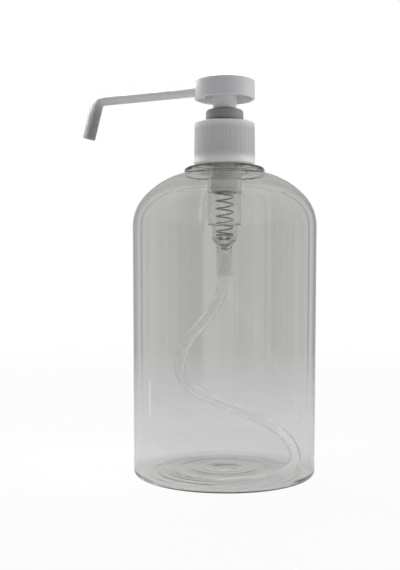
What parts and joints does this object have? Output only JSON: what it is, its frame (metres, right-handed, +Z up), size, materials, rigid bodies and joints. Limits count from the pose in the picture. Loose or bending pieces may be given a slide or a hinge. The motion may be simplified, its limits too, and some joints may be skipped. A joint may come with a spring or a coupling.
{
  "type": "soap pump dispenser",
  "caption": "Round clear bottle with a screw-on lotion pump: disc-shaped push head, long bent spout, sprung plunger and a curling dip tube.",
  "frame": {"origin": "centre of the ring that the bottle stands on", "axes": "+Z up along the bottle and pump axis; the spout points along -X at rest"},
  "size_m": [0.1187, 0.0934, 0.2005],
  "materials": {
    "clear_pet": "clear, very smooth, slightly grey blow-moulded polyester",
    "white_plastic": "white injection-moulded polypropylene, satin",
    "grey_plastic": "mid-grey injection-moulded polypropylene, satin",
    "natural_plastic": "uncoloured, milky translucent polypropylene",
    "tube_plastic": "uncoloured translucent polyethylene, smooth and waxy",
    "piston_plastic": "white polyethylene, satin",
    "soft_white": "soft foamed polyethylene",
    "steel": "drawn and polished stainless steel",
    "glass_ball": "polished glass"
  },
  "bodies": {
    "bottle": {"bottle": "clear_pet"},
    "pump": {"pump_cylinder": "natural_plastic", "locking_collar": "grey_plastic", "stem_wiper": "soft_white", "neck_gasket": "soft_white", "ball_cage": "natural_plastic", "return_spring": "steel", "dip_tube": "tube_plastic"},
    "cap": {"screw_cap": "white_plastic"},
    "plunger": {"piston": "piston_plastic"},
    "actuator": {"stem": "white_plastic", "outlet_seat": "piston_plastic", "push_head": "white_plastic", "nozzle_tube": "white_plastic"},
    "inlet_ball": {"inlet_ball": "steel"},
    "outlet_ball": {"outlet_ball": "glass_ball"}
  },
  "joints": [
    {"name": "pump_lift", "type": "slide", "parent": "bottle", "child": "pump", "axis": [0, 0, 1], "range_m": [0, 0.0064]},
    {"name": "cap_unscrew", "type": "hinge", "parent": "pump", "child": "cap", "pos_m": [0, 0, 0.17], "axis": [0, 0, 1], "range_deg": [0, 540]},
    {"name": "press", "type": "slide", "parent": "pump", "child": "plunger", "axis": [0, 0, -1], "range_m": [0, 0.008], "stiffness_N_per_m": 300, "springref_m": -0.015, "deforming": ["return_spring"]},
    {"name": "head_turn", "type": "hinge", "parent": "plunger", "child": "actuator", "pos_m": [0, 0, 0.195], "axis": [0, 0, 1], "continuous": true},
    {"name": "inlet_lift", "type": "slide", "parent": "pump", "child": "inlet_ball", "axis": [0, 0, 1], "range_m": [0, 0.0015]},
    {"name": "outlet_lift", "type": "slide", "parent": "actuator", "child": "outlet_ball", "axis": [0, 0, 1], "range_m": [0, 0.0015]}
  ],
  "couplings": [
    {"joint": "pump_lift", "follows": "cap_unscrew", "m_per_rad": 0.0006737}
  ]
}
